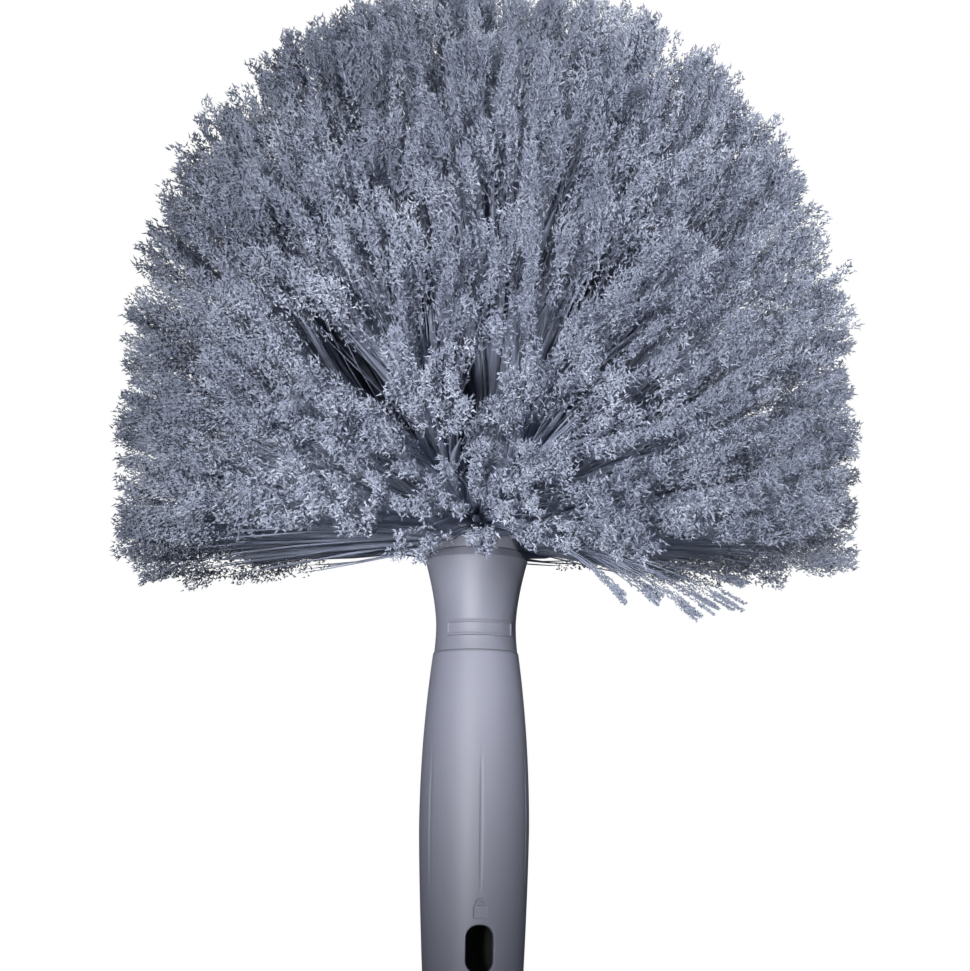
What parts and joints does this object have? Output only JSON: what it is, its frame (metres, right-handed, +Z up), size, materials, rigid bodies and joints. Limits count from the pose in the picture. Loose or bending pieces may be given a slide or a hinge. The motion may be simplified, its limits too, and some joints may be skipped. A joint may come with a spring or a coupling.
{
  "type": "cobweb duster",
  "caption": "Domed brush of soft flagged tufts on a hollow, waisted plastic handle with a tapered socket and a catch slot for an extension pole.",
  "frame": {"origin": "centre of the pole socket's mouth, at the handle's lower end face", "axes": "+Z up the handle to the crown of the brush; the catch slot and the badge face -Y; X is sideways"},
  "size_m": [0.2381, 0.2409, 0.3238],
  "materials": {
    "handle_plastic": "satin blue-grey moulded plastic",
    "collar_plastic": "satin blue-grey moulded plastic",
    "block_plastic": "plain moulded plastic",
    "zinc_steel": "zinc plated",
    "bristle_fibre": "dull flagged synthetic fibre, blue-grey"
  },
  "bodies": {
    "root": {"grip": "handle_plastic", "collar": "collar_plastic", "brush_block": "block_plastic", "block_screw": "zinc_steel", "screw_washer": "zinc_steel", "tuft_1_01": "bristle_fibre", "tuft_1_02": "bristle_fibre", "tuft_1_03": "bristle_fibre", "tuft_1_04": "bristle_fibre", "tuft_1_05": "bristle_fibre", "tuft_1_06": "bristle_fibre", "tuft_1_07": "bristle_fibre", "tuft_1_08": "bristle_fibre", "tuft_1_09": "bristle_fibre", "tuft_1_10": "bristle_fibre", "tuft_1_11": "bristle_fibre", "tuft_1_12": "bristle_fibre", "tuft_1_13": "bristle_fibre", "tuft_2_01": "bristle_fibre", "tuft_2_02": "bristle_fibre", "tuft_2_03": "bristle_fibre", "tuft_2_04": "bristle_fibre", "tuft_2_05": "bristle_fibre", "tuft_2_06": "bristle_fibre", "tuft_2_07": "bristle_fibre", "tuft_2_08": "bristle_fibre", "tuft_2_09": "bristle_fibre", "tuft_2_10": "bristle_fibre", "tuft_2_11": "bristle_fibre", "tuft_2_12": "bristle_fibre", "tuft_2_13": "bristle_fibre", "tuft_3_01": "bristle_fibre", "tuft_3_02": "bristle_fibre", "tuft_3_03": "bristle_fibre", "tuft_3_04": "bristle_fibre", "tuft_3_05": "bristle_fibre", "tuft_3_06": "bristle_fibre", "tuft_3_07": "bristle_fibre", "tuft_3_08": "bristle_fibre", "tuft_3_09": "bristle_fibre", "tuft_3_10": "bristle_fibre", "tuft_3_11": "bristle_fibre", "tuft_4_01": "bristle_fibre", "tuft_4_02": "bristle_fibre", "tuft_4_03": "bristle_fibre", "tuft_4_04": "bristle_fibre", "tuft_4_05": "bristle_fibre", "tuft_4_06": "bristle_fibre", "tuft_4_07": "bristle_fibre", "tuft_4_08": "bristle_fibre", "tuft_5_01": "bristle_fibre", "tuft_5_02": "bristle_fibre", "tuft_5_03": "bristle_fibre", "tuft_5_04": "bristle_fibre", "tuft_5_05": "bristle_fibre", "tuft_6_01": "bristle_fibre"}
  },
  "joints": []
}
